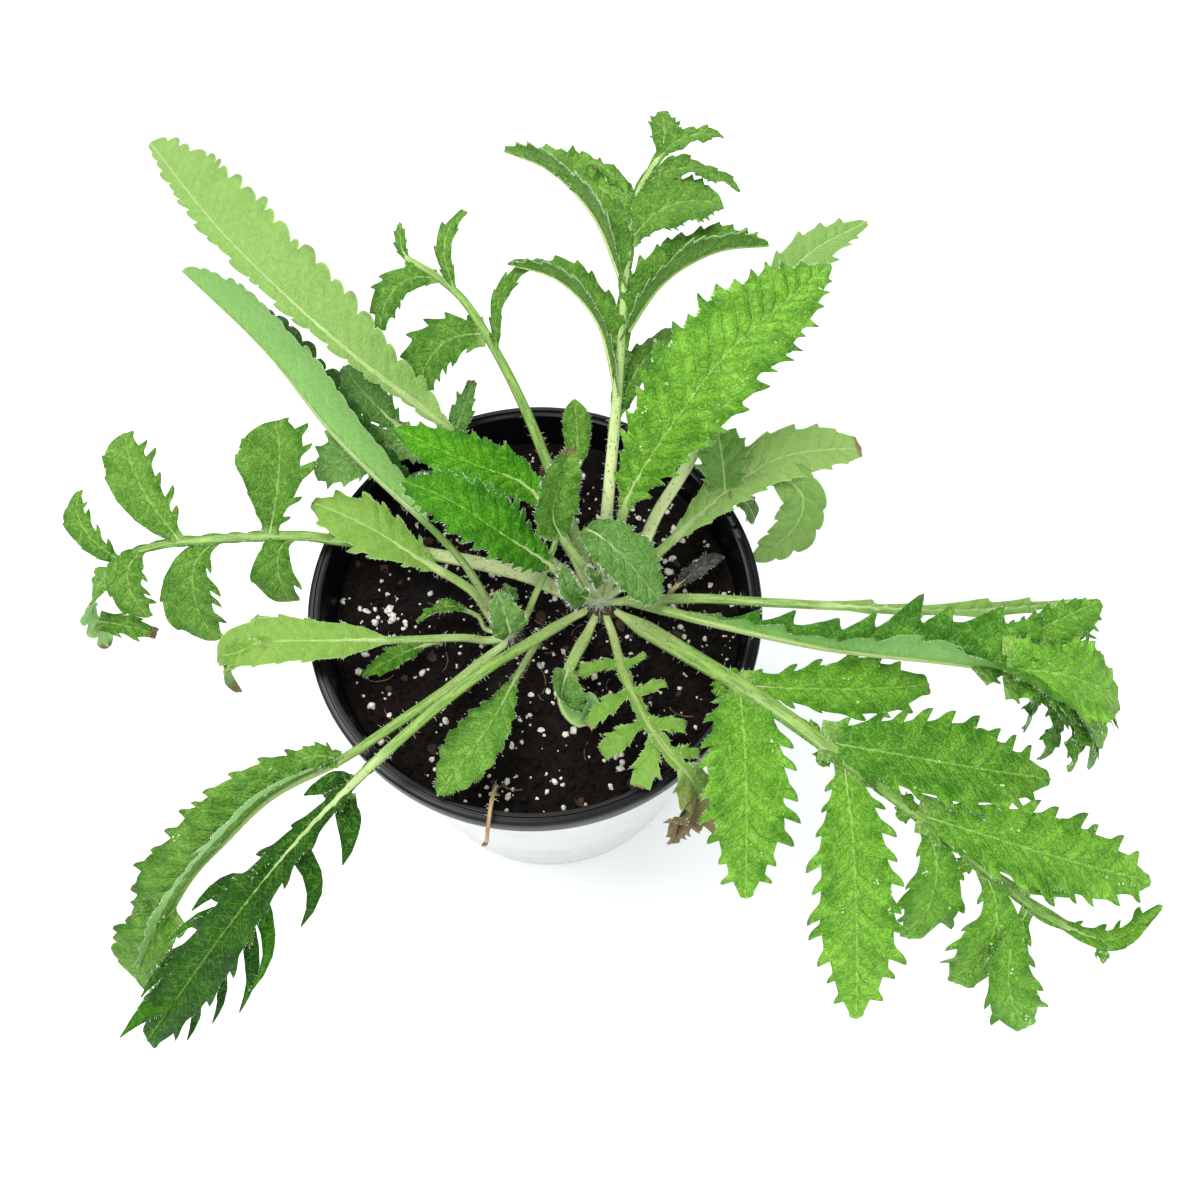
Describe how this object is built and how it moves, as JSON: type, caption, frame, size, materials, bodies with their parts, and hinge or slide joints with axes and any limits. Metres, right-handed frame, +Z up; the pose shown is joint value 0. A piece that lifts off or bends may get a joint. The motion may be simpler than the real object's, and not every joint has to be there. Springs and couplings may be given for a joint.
{
  "type": "potted oriental poppy",
  "caption": "Young oriental poppy with toothed, feather-cut hairy leaves spreading from low crowns in a round nursery pot of dark soil.",
  "frame": {"origin": "centre of the outer pot's flat base, at the level of the surface it stands on", "axes": "+Z up the pot's axis, +Y towards the back of the plant, +X to its right"},
  "size_m": [0.3857, 0.3327, 0.2339],
  "materials": {
    "outer_pot": "satin",
    "growers_pot": "satin",
    "soil": "matte",
    "crown": "matte",
    "leaf_bright": "satin",
    "leaf_middle": "satin",
    "leaf_pale": "satin",
    "leaf_yellow": "satin",
    "leaf_grey": "matte",
    "leaf_dark": "satin",
    "dry_leaf": "matte"
  },
  "bodies": {
    "root": {"outer_pot": "outer_pot", "growers_pot": "growers_pot", "soil": "soil", "crown_main": "crown", "crown_side": "crown", "leaf_tall_back": "leaf_middle", "leaf_back_left": "leaf_middle", "leaf_long_upper": "leaf_pale", "leaf_long_folded": "leaf_grey", "leaf_pale_short": "leaf_yellow", "leaf_left_pinnate": "leaf_middle", "leaf_left_spoon": "leaf_yellow", "leaf_small_low": "leaf_bright", "leaf_small_side": "leaf_middle", "leaf_side_heart": "leaf_grey", "leaf_front_left": "leaf_bright", "leaf_low_left_wet": "leaf_middle", "leaf_low_left_cut": "leaf_dark", "leaf_curled": "leaf_grey", "leaf_front_small": "leaf_yellow", "leaf_low_right": "leaf_bright", "leaf_right_folded": "leaf_bright", "leaf_right_back": "leaf_pale", "leaf_back_right": "leaf_pale", "leaf_behind_quilted": "leaf_pale", "leaf_quilted": "leaf_bright", "leaf_heart_hairy": "leaf_grey", "leaf_centre_bright": "leaf_bright", "leaf_centre_back": "leaf_bright", "leaf_centre_folded": "leaf_middle", "leaf_centre_spoon": "leaf_middle", "leaf_back_low": "leaf_grey", "dry_stalk": "dry_leaf", "dry_leaf": "dry_leaf", "seedling": "leaf_grey"}
  },
  "joints": []
}
